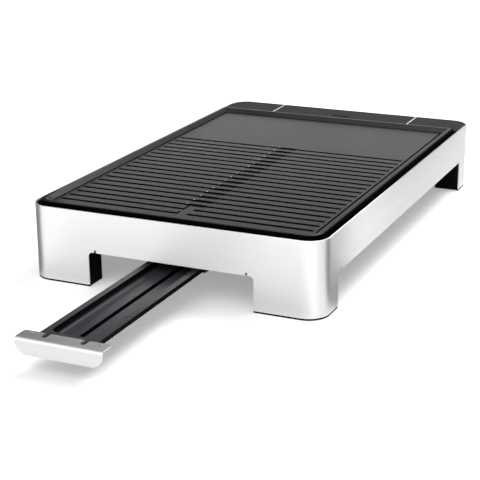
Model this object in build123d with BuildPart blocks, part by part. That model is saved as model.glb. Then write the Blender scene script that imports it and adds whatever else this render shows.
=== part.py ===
# Table grill with a brushed-steel band, a cast griddle plate with ribs and a flat zone,
# a drip drawer pulled out at the front, and two temperature knobs at the rear.
# Millimetres. X runs along the short end, Y from the drawer end to the control end, Z up.
# The origin lies on the table, under the middle of the steel band.

import os

from build123d import *

os.makedirs("parts", exist_ok=True)

# Steel band
band_width = 340.0
band_length = 550.0
band_top = 84.0
band_bottom = 2.0
band_corner = 23.0
sheet = 1.2
foot_front_width = 74.0
foot_side_depth = 46.5
cutout_top = 39.0
cutout_corner = 4.5
lip_depth = 12.0
notch_width = 2.5
notch_height = 3.0
notch_inset = 8.0

# Moulded feet and their pads
foot_fit = 0.2
foot_end_depth = 26.5
foot_inner_width = 32.0
foot_wall = 2.5
foot_floor = 3.0
foot_bottom = 0.6
pad_radius = 9.0
pad_recess = 1.6
boss_radius = 5.0
boss_web = 3.0
head_bore = 3.9
foot_screw_a_inset = (59.0, 14.0)
foot_screw_b_inset = (16.0, 38.0)
pad_inset = 18.0

# Base pan
pan_fit = 0.5
pan_sheet = 1.0
pan_wall_top = 83.0
pan_rear_wall_top = 79.5
pan_rear_wall_gap = 1.0
pan_slot_margin = 1.7
weld_nut_radius = 4.0
weld_nut_height = 4.0
vent_count = 9
vent_pitch = 9.0
vent_width = 3.5
vent_length = 14.0
vent_inset = 17.0

# Screws
screw_radius = 2.0
screw_head_radius = 3.4
screw_head_height = 1.6
screw_fit = 0.05
lip_screw_x = 62.0
lip_screw_y = 120.0
lip_screw_inset = 8.0
cover_screw_radius = 1.5
cover_screw_reach = 12.0

# Griddle plate
plate_side_gap = 6.7
plate_front_gap = 6.5
plate_rear_gap = 5.5
plate_front_corner = 17.0
plate_rear_corner = 8.0
rim_top = 88.0
rim_width = 4.6
rim_slope = 5.5
rear_slope = 10.0
moat_width = 2.4
moat_depth = 2.0
moat_front_inset = 22.5
floor_level = 84.0
plate_underside = 78.0
skirt_bottom = 72.0
skirt_wall = 4.5
rim_round = 1.6

# Grooves between the ribs, and the drain slots in them
groove_count = 19
groove_pitch = 16.0
groove_front_inset = 27.5
groove_side_gap = 3.3
groove_width = 5.2
groove_depth = 3.2
groove_taper = 16.0
link_x = -5.0
link_width = 2.8
link_depth = 2.6
link_lengths = (6.5, 15.0)
bridged_count = 2
bridge_width = 10.0
drain_length = 25.0
drain_width = 4.8
drip_skirt_half = 20.0
drip_skirt_wall = 2.4
drip_skirt_drop = 5.0
drip_skirt_margin = 8.0

# Heating elements
element_radius = 3.3
element_gap = 0.4
element_side_inset = 23.3
element_front_inset = 23.5
element_collar_gap = 20.0
rib_element_back_gap = 19.0
flat_element_side_gap = 35.0
flat_element_front_gap = 27.0
flat_element_back_inset = 25.0
element_bend = 17.0
element_reach = 10.0
tab_width = 6.3
tab_sheet = 0.8
tab_length = 9.0

# Heat reflector, its stand-offs and the element supports
reflector_side_inset = 14.3
reflector_front_inset = 12.5
reflector_rear_inset = 6.0
reflector_floor = 58.4
reflector_sheet = 0.8
reflector_top = 69.8
reflector_corner = 12.0
chute_half_width = 17.8
chute_margin = 15.0
chute_bottom = 38.0
standoff_radius = 4.0
standoff_side_inset = 29.0
standoff_end_inset = 36.5
support_width = 12.0
support_sheet = 2.0
rib_support_front = 75.0
rib_support_back = 48.0

# Plate rests
rest_width = 10.0
rest_depth = 14.0
rest_gap = 0.3
rest_shoulder = 3.2
rest_side_gap = 0.7
rest_wall_gap = 0.1
rest_front_inset = 54.5
rest_middle_y = -24.0
rest_rear_inset = 25.0

# Firewall between the heating bay and the control bay
firewall_gap = 2.5
firewall_sheet = 1.0
firewall_hole = 4.2

# Control cover
cover_top = 83.6
cover_thickness = 3.0
cover_depth = 56.5
cover_side_fit = 0.3
cover_edge_round = 2.5
cover_skirt_drop = 2.6
cover_skirt_wall = 2.0
cover_skirt_fit = 1.0
cover_boss_radius = 4.5
inner_boss_x = 60.0
inner_boss_inset = 25.0
outer_boss_inset = (45.0, 37.0)
grip_width = 22.0
grip_depth = 5.0
grip_inset = 38.0
grip_sink = 2.3
guide_width = 1.5
guide_gap = 3.5
lamp_width = 8.0
lamp_length = 12.0
lamp_height = 9.0
lamp_inset = 39.0
lamp_round = 1.0

# Temperature controls
knob_x = 96.0
knob_z = 60.0
knob_radius = 17.0
knob_front_radius = 15.2
knob_depth = 17.0
knob_gap = 0.8
knob_edge_round = 1.5
knob_plain_edge = 2.0
knob_flutes = 20
flute_radius = 1.3
knob_pocket_radius = 9.5
knob_pocket_depth = 3.8
knob_pointer_width = 1.4
knob_pointer_sink = 0.6
shaft_radius = 3.0
shaft_fit = 0.05
shaft_flat = 2.0
shaft_inset = 19.0
shaft_cap = 3.5
thermostat_width = 34.0
thermostat_depth = 22.0
thermostat_height = 28.0
thermostat_back_gap = 4.0
thermostat_round = 3.0
thermostat_tab_x = 8.0
thermostat_tab_rise = 4.0
bushing_radius = 5.0
bushing_reach = 3.0
nut_flats = 13.0
nut_height = 2.2

# Mains inlet
gland_z = 60.0
gland_barrel_radius = 7.9
gland_flange_radius = 11.0
gland_flange = 3.0
gland_bore = 3.6
gland_edge_round = 1.2
gland_mouth_inset = 3.5
gland_mouth = 5.6
gland_length = 21.0
wall_hole_gap = 0.2
block_width = 36.0
block_depth = 14.0
block_height = 13.0
block_inset = 39.0
block_ways = 3

# Drip drawer: how far it is pulled out, and its tray
drawer_out = 218.0
tray_half_width = 31.0
tray_rim = 34.0
tray_wall = 1.6
tray_skirt = 5.0
trough_half_width = 24.0
trough_floor = 26.0
trough_corner = 9.0
trough_fillet = 6.5
trough_wall = 2.0
tray_length = 342.0
tray_front_rim = 6.5
tray_rear_rim = 4.0
channel_half_width = 2.8
channel_depth = 5.0
channel_end = 16.0
tongue_x = 20.5
tongue_width = 3.4
tongue_length = 9.0
tongue_proud = 0.3

# Drawer handle
handle_half_width = 46.0
handle_sheet = 1.2
handle_top = 34.7
handle_flange = 15.2
handle_bend = 3.0
handle_bottom = 18.0
handle_corner = 12.0
handle_rear_corner = 2.5
handle_notch_gap = 0.9
ledge_half_width = 42.0
ledge_thickness = 2.0
rivet_x = 36.5
rivet_inset = 4.2
rivet_radius = 2.1
rivet_head_radius = 3.4
rivet_head = 1.2
rivet_sink = 1.0

# Drawer rails
rail_side_gap = 0.5
rail_sheet = 1.2
rail_gap = 0.3
rail_ledge = 4.0
rail_flange = 12.0
rail_front_gap = 0.8

# Worked out from the sizes above
half_width = band_width / 2
half_length = band_length / 2
end_cutout = band_width - 2 * foot_front_width
side_cutout = band_length - 2 * foot_side_depth
lip_top = cutout_top + sheet
pan_bottom = lip_top
pan_floor = pan_bottom + pan_sheet
pan_half_width = half_width - sheet - pan_fit
pan_half_length = half_length - sheet - pan_fit
pan_corner = band_corner - sheet - pan_fit
cap_corner_start = half_length - band_corner
foot_screw_a = (half_width - foot_screw_a_inset[0], half_length - foot_screw_a_inset[1])
foot_screw_b = (half_width - foot_screw_b_inset[0], half_length - foot_screw_b_inset[1])
pad_place = (half_width - pad_inset, half_length - pad_inset)
vent_y = half_length - vent_inset
cover_bottom = cover_top - cover_thickness
cover_front = half_length - cover_depth
guide_start = cover_front + guide_gap
grip_y = half_length - grip_inset
lamp_y = half_length - lamp_inset
firewall_y = cover_front - firewall_gap
shaft_inner = half_length - shaft_inset
gland_inner = half_length - gland_length
gland_bore_end = half_length - gland_mouth_inset
block_y = half_length - block_inset
plate_half_width = half_width - plate_side_gap
plate_front = -half_length + plate_front_gap
plate_rear = cover_front - plate_rear_gap
moat_front = plate_front + moat_front_inset
moat_inner = plate_half_width - rim_width - rim_slope - moat_width
element_z = plate_underside - element_gap - element_radius
groove_half_length = moat_inner - groove_side_gap
groove_places = [plate_front + groove_front_inset + n * groove_pitch for n in range(groove_count)]
drain_places = groove_places[bridged_count:]
rib_outer = plate_half_width - element_side_inset
rib_inner = drip_skirt_half + element_collar_gap
rib_element_x = (rib_outer, (rib_outer + rib_inner) / 2, rib_inner)
rib_element_front = plate_front + element_front_inset
rib_element_back = groove_places[-1] - rib_element_back_gap
rib_support_y = (rib_element_front + rib_support_front, rib_element_back - rib_support_back)
flat_outer = rib_outer - flat_element_side_gap
flat_pitch = 2 * flat_outer / 5
flat_element_x = (flat_outer, flat_outer - flat_pitch, flat_outer - 2 * flat_pitch)
flat_element_front = groove_places[-1] + flat_element_front_gap
flat_element_back = plate_rear - flat_element_back_inset
flat_support_y = (flat_element_front + flat_element_back) / 2
element_end = firewall_y + element_reach
rest_y = (plate_front + rest_front_inset, rest_middle_y, plate_rear - rest_rear_inset)
reflector_half_width = plate_half_width - reflector_side_inset
reflector_front = plate_front + reflector_front_inset
reflector_rear = plate_rear - reflector_rear_inset
reflector_middle = (reflector_front + reflector_rear) / 2
chute_front = drain_places[0] - chute_margin
chute_rear = drain_places[-1] + chute_margin
chute_middle = (chute_front + chute_rear) / 2
standoff_x = reflector_half_width - standoff_side_inset
standoff_y = (reflector_front + standoff_end_inset, reflector_middle, reflector_rear - standoff_end_inset)
knob_back = half_length + knob_gap
knob_face = knob_back + knob_depth
handle_front = -half_length - drawer_out
handle_rear = handle_front + handle_bend + handle_flange
tray_front = handle_rear + rail_gap
tray_rear = tray_front + tray_length
trough_front = tray_front + tray_front_rim
trough_rear = tray_rear - tray_rear_rim
trough_middle = (trough_front + trough_rear) / 2
trough_length = trough_rear - trough_front
ledge_top = handle_top - handle_sheet
rail_front = tray_front + drawer_out + rail_front_gap
rail_rear = tray_rear + drawer_out + rail_gap
foot_screw_places = [(side * x, end * y) for x, y in (foot_screw_a, foot_screw_b)
                     for side in (-1, 1) for end in (-1, 1)]
lip_middle = half_length - lip_depth / 2
lip_side_middle = half_width - lip_depth / 2
lip_screw_places = [(side * lip_screw_x, end * (half_length - lip_screw_inset))
                    for side in (-1, 1) for end in (-1, 1)]
lip_screw_places += [(side * (half_width - lip_screw_inset), end * lip_screw_y)
                     for side in (-1, 1) for end in (-1, 1)]
cover_bosses = ((inner_boss_x, half_length - inner_boss_inset),
                (half_width - outer_boss_inset[0], half_length - outer_boss_inset[1]))
cover_screw_places = [(side * x, y) for x, y in cover_bosses for side in (-1, 1)]


def save(builder, name):
    """Label a finished piece and write its file."""
    builder.part.label = name
    export_step(builder.part, f"parts/{name}.step")


def rectangle_between(low_x, high_x, low_y, high_y, mode=Mode.ADD):
    """Add a rectangle to the open sketch by its edges, or take it away."""
    with Locations(((low_x + high_x) / 2, (low_y + high_y) / 2)):
        Rectangle(high_x - low_x, high_y - low_y, mode=mode)


# Steel band: one bent ring, cut out between the feet, with the cut edges folded inwards
def cutout_outline(width):
    """A cut-out seen square on, with rounded upper corners."""
    rectangle_between(-width / 2, width / 2, band_bottom - sheet, cutout_top)
    upper = vertices().group_by(Axis.Y)[-1]
    fillet(upper, cutout_corner)


def folded_edge(span, along_x):
    """The two folded lips of one pair of opposite cut-outs, with relief notches at their ends."""
    lip_length = span - 2 * notch_inset - notch_width
    notch_place = span / 2 - notch_inset
    for end in (-1, 1):
        if along_x:
            lip_at = (0, end * lip_middle, cutout_top + sheet / 2)
            lip_size = (lip_length, lip_depth, sheet)
            notch_size = (notch_width, 3 * sheet, notch_height + sheet)
            notches = [(side * notch_place, end * (half_length - sheet / 2)) for side in (-1, 1)]
        else:
            lip_at = (end * lip_side_middle, 0, cutout_top + sheet / 2)
            lip_size = (lip_depth, lip_length, sheet)
            notch_size = (3 * sheet, notch_width, notch_height + sheet)
            notches = [(end * (half_width - sheet / 2), side * notch_place) for side in (-1, 1)]
        with Locations(lip_at):
            Box(*lip_size)
        notch_z = cutout_top + (notch_height - sheet) / 2
        with Locations(*[(x, y, notch_z) for x, y in notches]):
            Box(*notch_size, mode=Mode.SUBTRACT)


with BuildPart() as steel_band:
    with BuildSketch(Plane.XY.offset(band_bottom)):
        RectangleRounded(band_width, band_length, band_corner)
        RectangleRounded(band_width - 2 * sheet, band_length - 2 * sheet, band_corner - sheet,
                         mode=Mode.SUBTRACT)
    extrude(amount=band_top - band_bottom)
    with BuildSketch(Plane.XZ):
        cutout_outline(end_cutout)
    extrude(amount=band_length, both=True, mode=Mode.SUBTRACT)
    with BuildSketch(Plane.YZ):
        cutout_outline(side_cutout)
    extrude(amount=band_width, both=True, mode=Mode.SUBTRACT)
    folded_edge(end_cutout, True)
    folded_edge(side_cutout, False)
    # The control cover caps the band round the rear corners
    with BuildSketch(Plane.XY.offset(cover_bottom)):
        rectangle_between(-half_width, half_width, cap_corner_start, half_length)
    extrude(amount=band_top - cover_bottom, mode=Mode.SUBTRACT)
    # Holes for the control bushings, the mains gland and the screws
    with BuildSketch(Plane.XZ.offset(-half_length)):
        with Locations((-knob_x, knob_z), (knob_x, knob_z)):
            Circle(bushing_radius + wall_hole_gap)
        with Locations((0, gland_z)):
            Circle(gland_barrel_radius + wall_hole_gap)
    extrude(amount=2 * sheet, mode=Mode.SUBTRACT)
    with BuildSketch(Plane.XY.offset(cutout_top)):
        with Locations(*lip_screw_places):
            Circle(screw_radius + screw_fit)
    extrude(amount=sheet, mode=Mode.SUBTRACT)
save(steel_band, "steel_band")


# Feet: hollow black mouldings behind the steel at each corner, L-shaped from below
def foot_outline(side, end, inset):
    """The foot's L-shaped plan, drawn in by a wall thickness where asked."""
    outer_x = half_width - sheet - foot_fit - inset
    outer_y = half_length - sheet - foot_fit - inset
    end_leg_x = end_cutout / 2 + inset
    end_leg_y = half_length - foot_end_depth + inset
    side_leg_x = half_width - foot_inner_width + inset
    side_leg_y = half_length - foot_side_depth + inset
    end_leg = (outer_x - end_leg_x, outer_y - end_leg_y)
    side_leg = (outer_x - side_leg_x, outer_y - side_leg_y)
    with Locations((side * (outer_x + end_leg_x) / 2, end * (outer_y + end_leg_y) / 2)):
        Rectangle(*end_leg)
    with Locations((side * (outer_x + side_leg_x) / 2, end * (outer_y + side_leg_y) / 2)):
        Rectangle(*side_leg)
    corner = vertices().sort_by_distance((side * half_width, end * half_length))[0]
    fillet(corner, band_corner - sheet - foot_fit - inset)


def make_foot(name, side, end):
    """One foot, with its two screw bosses and the recess for its pad."""
    screws = [(side * x, end * y) for x, y in (foot_screw_a, foot_screw_b)]
    with BuildPart() as foot:
        with BuildSketch(Plane.XY.offset(foot_bottom)):
            foot_outline(side, end, 0)
        extrude(amount=pan_bottom - foot_bottom)
        with BuildSketch(Plane.XY.offset(foot_bottom + foot_floor)):
            foot_outline(side, end, foot_wall)
        extrude(amount=pan_bottom - foot_bottom - foot_floor, mode=Mode.SUBTRACT)
        with BuildSketch(Plane.XY.offset(foot_bottom)):
            with Locations(*screws):
                Circle(boss_radius)
        extrude(amount=pan_bottom - foot_bottom)
        with BuildSketch(Plane.XY.offset(foot_bottom)):
            with Locations(*screws):
                Circle(head_bore)
        extrude(amount=pan_bottom - boss_web - foot_bottom, mode=Mode.SUBTRACT)
        with BuildSketch(Plane.XY.offset(pan_bottom)):
            with Locations(*screws):
                Circle(screw_radius + screw_fit)
        extrude(amount=-2 * boss_web, mode=Mode.SUBTRACT)
        with BuildSketch(Plane.XY.offset(foot_bottom)):
            with Locations((side * pad_place[0], end * pad_place[1])):
                Circle(pad_radius + screw_fit)
        extrude(amount=pad_recess, mode=Mode.SUBTRACT)
    save(foot, name)


make_foot("foot_front_left", -1, -1)
make_foot("foot_front_right", 1, -1)
make_foot("foot_rear_left", -1, 1)
make_foot("foot_rear_right", 1, 1)

with BuildPart() as rubber_pads:
    with BuildSketch(Plane.XY):
        with GridLocations(2 * pad_place[0], 2 * pad_place[1], 2, 2):
            Circle(pad_radius)
    extrude(amount=foot_bottom + pad_recess)
    chamfer(edges().group_by(Axis.Z)[0], foot_bottom / 2)
save(rubber_pads, "rubber_pads")

# Base pan: black sheet tray that lines the band, with a slot over the drawer
with BuildPart() as base_pan:
    with BuildSketch(Plane.XY.offset(pan_bottom)):
        RectangleRounded(2 * pan_half_width, 2 * pan_half_length, pan_corner)
    extrude(amount=pan_wall_top - pan_bottom)
    with BuildSketch(Plane.XY.offset(pan_floor)):
        RectangleRounded(2 * (pan_half_width - pan_sheet), 2 * (pan_half_length - pan_sheet),
                         pan_corner - pan_sheet)
    extrude(amount=pan_wall_top - pan_floor, mode=Mode.SUBTRACT)
    # The wall is lower under the control cover
    with BuildSketch(Plane.XY.offset(pan_rear_wall_top)):
        rectangle_between(-half_width, half_width, cover_front - pan_rear_wall_gap, half_length)
    extrude(amount=pan_wall_top - pan_rear_wall_top, mode=Mode.SUBTRACT)
    # Weld nuts over the foot screws and the lip screws
    with BuildSketch(Plane.XY.offset(pan_floor)):
        with Locations(*foot_screw_places, *lip_screw_places):
            Circle(weld_nut_radius)
    extrude(amount=weld_nut_height)
    with BuildSketch(Plane.XY.offset(pan_bottom)):
        with Locations(*foot_screw_places, *lip_screw_places):
            Circle(screw_radius + screw_fit)
    extrude(amount=pan_sheet + weld_nut_height, mode=Mode.SUBTRACT)
    with BuildSketch(Plane.XY.offset(pan_bottom)):
        with Locations(*cover_screw_places):
            Circle(cover_screw_radius + screw_fit)
        with Locations((0, chute_middle)):
            Rectangle(2 * (chute_half_width + pan_slot_margin),
                      chute_rear - chute_front + 2 * pan_slot_margin)
        with Locations((0, vent_y)):
            with GridLocations(vent_pitch, 0, vent_count, 1):
                SlotOverall(vent_length, vent_width, rotation=90)
    extrude(amount=pan_sheet, mode=Mode.SUBTRACT)
    with BuildSketch(Plane.XZ.offset(-pan_half_length)):
        with Locations((-knob_x, knob_z), (knob_x, knob_z)):
            Circle(bushing_radius + wall_hole_gap)
        with Locations((0, gland_z)):
            Circle(gland_barrel_radius + wall_hole_gap)
    extrude(amount=pan_sheet, mode=Mode.SUBTRACT)
save(base_pan, "base_pan")


# Screws from below: through the feet and the lips into the pan, and through the pan into the cover
def add_screws(places, seat, shank_radius, reach):
    """Screws whose heads hang under a seat."""
    upwards = (Align.CENTER, Align.CENTER, Align.MIN)
    with Locations(*[(x, y, seat - screw_head_height) for x, y in places]):
        Cylinder(screw_head_radius, screw_head_height, align=upwards)
    with Locations(*[(x, y, seat) for x, y in places]):
        Cylinder(shank_radius, reach, align=upwards)


with BuildPart() as housing_screws:
    add_screws(foot_screw_places, pan_bottom - boss_web, screw_radius,
               boss_web + pan_sheet + weld_nut_height)
    add_screws(lip_screw_places, cutout_top, screw_radius, sheet + pan_sheet + weld_nut_height)
save(housing_screws, "housing_screws")

with BuildPart() as cover_screws:
    add_screws(cover_screw_places, pan_bottom, cover_screw_radius, pan_sheet + cover_screw_reach)
save(cover_screws, "cover_screws")


# Drawer rails: folded channels under the pan that carry the tray's skirts
def make_rail(name, side):
    """One rail: ledge under the skirt, guide over the rim, web, and flange against the pan."""
    web_inner = tray_half_width + rail_side_gap
    web_outer = web_inner + rail_sheet
    ledge_top_z = tray_rim - tray_skirt - rail_gap
    ledge_inner = web_inner - rail_ledge
    guide_z = tray_rim + rail_gap
    with BuildPart() as rail:
        with BuildSketch(Plane.XZ.offset(-rail_front)):
            with Locations((side * (web_inner + web_outer) / 2, (ledge_top_z - rail_sheet + pan_bottom) / 2)):
                Rectangle(rail_sheet, pan_bottom - ledge_top_z + rail_sheet)
            with Locations((side * (ledge_inner + web_outer) / 2, ledge_top_z - rail_sheet / 2)):
                Rectangle(web_outer - ledge_inner, rail_sheet)
            with Locations((side * (ledge_inner + web_outer) / 2, guide_z + rail_sheet / 2)):
                Rectangle(web_outer - ledge_inner, rail_sheet)
            with Locations((side * (web_outer + rail_flange / 2), pan_bottom - rail_sheet / 2)):
                Rectangle(rail_flange, rail_sheet)
        extrude(amount=-(rail_rear + rail_sheet - rail_front))
        # Stop for the rear end of the tray
        with BuildSketch(Plane.XZ.offset(-rail_rear)):
            with Locations((side * (ledge_inner + web_outer) / 2, (ledge_top_z + guide_z) / 2)):
                Rectangle(web_outer - ledge_inner, guide_z - ledge_top_z + rail_sheet)
        extrude(amount=-rail_sheet)
    save(rail, name)


make_rail("rail_left", -1)
make_rail("rail_right", 1)

# Heat reflector: bright sheet dish under the elements, with a chute for the fat
with BuildPart() as heat_reflector:
    with BuildSketch(Plane.XY.offset(reflector_floor)):
        with Locations((0, reflector_middle)):
            RectangleRounded(2 * reflector_half_width, reflector_rear - reflector_front, reflector_corner)
    extrude(amount=reflector_top - reflector_floor)
    with BuildSketch(Plane.XY.offset(reflector_floor + reflector_sheet)):
        with Locations((0, reflector_middle)):
            RectangleRounded(2 * (reflector_half_width - reflector_sheet),
                             reflector_rear - reflector_front - 2 * reflector_sheet,
                             reflector_corner - reflector_sheet)
    extrude(amount=reflector_top - reflector_floor, mode=Mode.SUBTRACT)
    with BuildSketch(Plane.XY.offset(chute_bottom)):
        with Locations((0, chute_middle)):
            Rectangle(2 * chute_half_width, chute_rear - chute_front)
    extrude(amount=reflector_floor - chute_bottom)
    with BuildSketch(Plane.XY.offset(chute_bottom)):
        with Locations((0, chute_middle)):
            Rectangle(2 * (chute_half_width - reflector_sheet),
                      chute_rear - chute_front - 2 * reflector_sheet)
    extrude(amount=reflector_top - chute_bottom, mode=Mode.SUBTRACT)
save(heat_reflector, "heat_reflector")

with BuildPart() as reflector_standoffs:
    with BuildSketch(Plane.XY.offset(pan_floor)):
        with Locations(*[(side * standoff_x, y) for side in (-1, 1) for y in standoff_y]):
            Circle(standoff_radius)
            Circle(standoff_radius / 2, mode=Mode.SUBTRACT)
    extrude(amount=reflector_floor - pan_floor)
save(reflector_standoffs, "reflector_standoffs")


# Heating elements: one bent tube for each zone, clear of the drain slots
def serpentine(columns, front, back):
    """The corners of one element's route, from its left end round to its right end."""
    outer, middle, inner = columns
    left = [(-outer, element_end), (-outer, front), (-middle, front), (-middle, back),
            (-inner, back), (-inner, front)]
    return left + [(-x, y) for x, y in reversed(left)]


def make_element(name, columns, front, back):
    """A round tube swept along its route."""
    corners = [(x, y, element_z) for x, y in serpentine(columns, front, back)]
    with BuildPart() as element:
        with BuildLine():
            FilletPolyline(*corners, radius=element_bend)
        with BuildSketch(Plane(origin=corners[0], z_dir=(0, -1, 0))):
            Circle(element_radius)
        sweep()
    save(element, name)


make_element("element_rib_zone", rib_element_x, rib_element_front, rib_element_back)
make_element("element_flat_zone", flat_element_x, flat_element_front, flat_element_back)

element_end_x = [side * x[0] for x in (rib_element_x, flat_element_x) for side in (-1, 1)]

with BuildPart() as element_terminals:
    with Locations(*[(x, element_end + tab_length / 2, element_z) for x in element_end_x]):
        Box(tab_width, tab_length, tab_sheet)
save(element_terminals, "element_terminals")

support_places = [(side * x, y) for x in rib_element_x for y in rib_support_y for side in (-1, 1)]
support_places += [(side * x, flat_support_y) for x in flat_element_x for side in (-1, 1)]
support_places += [(side * rib_element_x[0], flat_support_y) for side in (-1, 1)]

with BuildPart() as element_supports:
    support_foot = reflector_floor + reflector_sheet
    with Locations(*[(x, y, (support_foot + element_z) / 2) for x, y in support_places]):
        Box(support_width, support_sheet, element_z - support_foot)
    with Locations(*[(x, y, element_z) for x, y in support_places]):
        Cylinder(element_radius + screw_fit, 2 * support_sheet, rotation=(90, 0, 0), mode=Mode.SUBTRACT)
save(element_supports, "element_supports")

# Plate rests: posts under the plate's skirt, each with a shoulder outside it
rest_outer = pan_half_width - pan_sheet - rest_wall_gap
rest_inner = rest_outer - rest_width
shoulder_inner = plate_half_width + rest_side_gap
rest_top = skirt_bottom - rest_gap
with BuildPart() as plate_rests:
    with Locations(*[(side * (rest_outer + rest_inner) / 2, y, (pan_floor + rest_top) / 2)
                     for side in (-1, 1) for y in rest_y]):
        Box(rest_width, rest_depth, rest_top - pan_floor)
    with Locations(*[(side * (rest_outer + shoulder_inner) / 2, y, rest_top + rest_shoulder / 2)
                     for side in (-1, 1) for y in rest_y]):
        Box(rest_outer - shoulder_inner, rest_depth, rest_shoulder)
save(plate_rests, "plate_rests")

# Firewall, with holes for the four element ends
firewall_half = pan_half_width - pan_sheet - pan_fit
with BuildPart() as firewall:
    with BuildSketch(Plane.XZ.offset(-firewall_y)):
        rectangle_between(-firewall_half, firewall_half, pan_floor, pan_rear_wall_top)
        with Locations(*[(x, element_z) for x in element_end_x]):
            Circle(firewall_hole, mode=Mode.SUBTRACT)
    extrude(amount=-firewall_sheet)
save(firewall, "firewall")


# Griddle plate: cast dish with a rim, grooves, drain slots and a skirt underneath
def plate_outline(inset, rear_inset):
    """The plate's plan with larger corners at the front than at the rear."""
    rectangle_between(-plate_half_width + inset, plate_half_width - inset,
                      plate_front + inset, plate_rear - rear_inset)
    front_pair = vertices().group_by(Axis.Y)[0]
    rear_pair = vertices().group_by(Axis.Y)[-1]
    fillet(front_pair, plate_front_corner - min(inset, rim_width))
    fillet(rear_pair, plate_rear_corner - min(inset, rim_width))


def add_groove_outlines(places, length, middle):
    """Square-ended grooves across the plate, in the open sketch."""
    with Locations(*[(middle, y) for y in places]):
        Rectangle(length, groove_width)


with BuildPart() as grill_plate:
    with BuildSketch(Plane.XY.offset(skirt_bottom)):
        plate_outline(0, 0)
    extrude(amount=rim_top - skirt_bottom)
    # Dish inside the rim
    with BuildSketch(Plane.XY.offset(rim_top)):
        plate_outline(rim_width, rim_width)
    with BuildSketch(Plane.XY.offset(floor_level)):
        plate_outline(rim_width + rim_slope, rim_width + rear_slope)
    loft(mode=Mode.SUBTRACT)
    # Narrow moat along the foot of the wall, at the sides and the rear
    with BuildSketch(Plane.XY.offset(floor_level)):
        plate_outline(rim_width + rim_slope, rim_width + rear_slope)
        rectangle_between(-plate_half_width, plate_half_width, plate_front, moat_front, mode=Mode.SUBTRACT)
        rectangle_between(-moat_inner, moat_inner, plate_front,
                          plate_rear - rim_width - rear_slope - moat_width, mode=Mode.SUBTRACT)
    extrude(amount=-moat_depth, mode=Mode.SUBTRACT)
    # Hollow underside inside the skirt
    with BuildSketch(Plane.XY.offset(skirt_bottom)):
        plate_outline(skirt_wall, skirt_wall)
    extrude(amount=plate_underside - skirt_bottom, mode=Mode.SUBTRACT)
    # Collar under the drain slots, so that the fat drops into the chute
    collar_front = drain_places[0] - drip_skirt_margin
    collar_rear = drain_places[-1] + drip_skirt_margin
    with BuildSketch(Plane.XY.offset(plate_underside)):
        rectangle_between(-drip_skirt_half, drip_skirt_half, collar_front, collar_rear)
        with Locations((0, (collar_front + collar_rear) / 2)):
            Rectangle(2 * (drip_skirt_half - drip_skirt_wall),
                      collar_rear - collar_front - 2 * drip_skirt_wall, mode=Mode.SUBTRACT)
    extrude(amount=-drip_skirt_drop)
    # Grooves: the front ones are bridged in the middle, the others drain there
    with BuildSketch(Plane.XY.offset(floor_level)):
        add_groove_outlines(drain_places, 2 * groove_half_length, 0)
        part_length = groove_half_length - bridge_width / 2
        part_middle = groove_half_length - part_length / 2
        for side in (-1, 1):
            add_groove_outlines(groove_places[:bridged_count], part_length, side * part_middle)
    extrude(amount=-groove_depth, taper=groove_taper, mode=Mode.SUBTRACT)
    # Links that lead from the front grooves towards the drain slots
    with BuildSketch(Plane.XY.offset(floor_level)):
        for start, length in zip(groove_places, link_lengths):
            rectangle_between(link_x - link_width, link_x, start, start + length)
    extrude(amount=-link_depth, mode=Mode.SUBTRACT)
    with BuildSketch(Plane.XY.offset(floor_level)):
        with Locations(*[(0, y) for y in drain_places]):
            SlotOverall(drain_length, drain_width)
    extrude(amount=plate_underside - floor_level, mode=Mode.SUBTRACT)
    # Notches in the rear skirt over the element ends
    with Locations(*[(x, plate_rear - skirt_wall / 2, (skirt_bottom + plate_underside) / 2)
                     for x in element_end_x]):
        Box(2 * firewall_hole, 2 * skirt_wall, plate_underside - skirt_bottom, mode=Mode.SUBTRACT)
    # Rounded outer edge of the rim
    outer_loop = faces().sort_by(Axis.Z)[-1].outer_wire().edges()
    fillet(outer_loop, rim_round)
save(grill_plate, "grill_plate")


# Control cover: cap over the control bay, rounded where it closes the band's rear corners
with BuildPart() as cover_slab:
    with BuildSketch(Plane.XY.offset(cover_bottom)):
        RectangleRounded(band_width, band_length, band_corner)
    extrude(amount=cover_thickness)
    fillet(edges().group_by(Axis.Z)[-1], cover_edge_round)
    # Keep the strip between the band's sides, and the cap over its lowered rear edge
    cover_side = half_width - sheet - cover_side_fit
    cap_start = cap_corner_start + cover_side_fit
    with BuildSketch(Plane.XY.offset(cover_bottom)):
        rectangle_between(-half_width, half_width, -half_length, cover_front)
        rectangle_between(-half_width, -cover_side, -half_length, cap_start)
        rectangle_between(cover_side, half_width, -half_length, cap_start)
    extrude(amount=cover_thickness, mode=Mode.SUBTRACT)


def guide_box(side, mode):
    """The space of one light guide in the cover."""
    guide_length = half_length - guide_start
    with Locations((side * knob_x, guide_start + guide_length / 2, cover_bottom + cover_thickness / 2)):
        Box(guide_width, guide_length, cover_thickness, mode=mode)


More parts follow.
